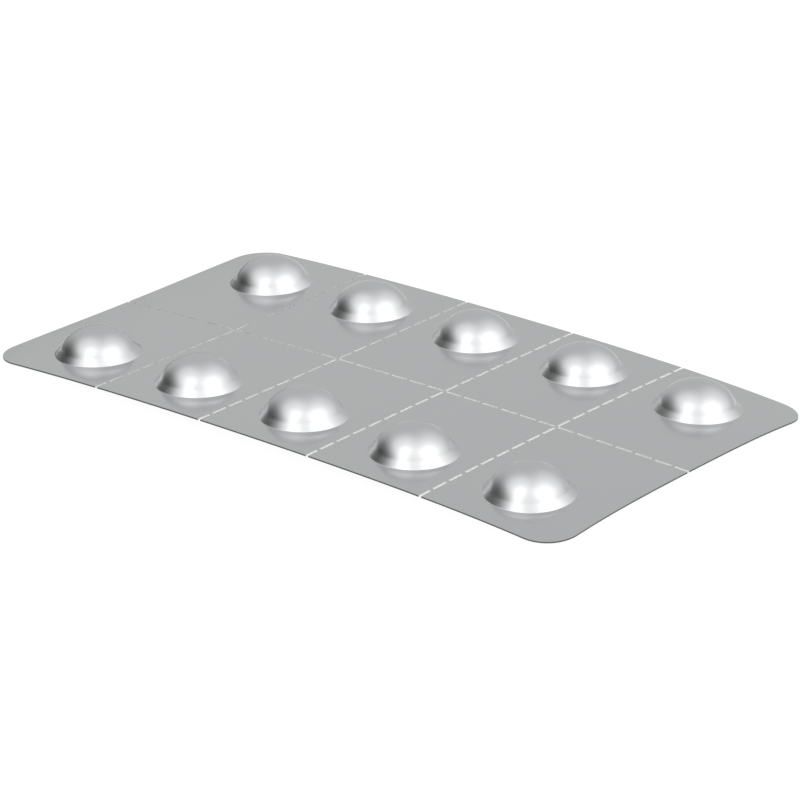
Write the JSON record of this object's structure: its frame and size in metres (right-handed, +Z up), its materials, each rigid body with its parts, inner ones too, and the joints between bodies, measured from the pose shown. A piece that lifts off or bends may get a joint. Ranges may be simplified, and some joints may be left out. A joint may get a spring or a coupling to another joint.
{
  "type": "blister pack",
  "caption": "Flat sealed aluminium foil card with rows of round domed pockets that hold tablets, parted into cells by perforated tear lines.",
  "frame": {"origin": "centre of the card's outline, on the surface that its two short ends rest on", "axes": "+X along the card's long side, +Y across it, +Z up, out of the pockets' domed tops"},
  "size_m": [0.094, 0.0524, 0.0047],
  "materials": {
    "foil": "satin"
  },
  "bodies": {
    "root": {"blister_pack": "foil"}
  },
  "joints": []
}
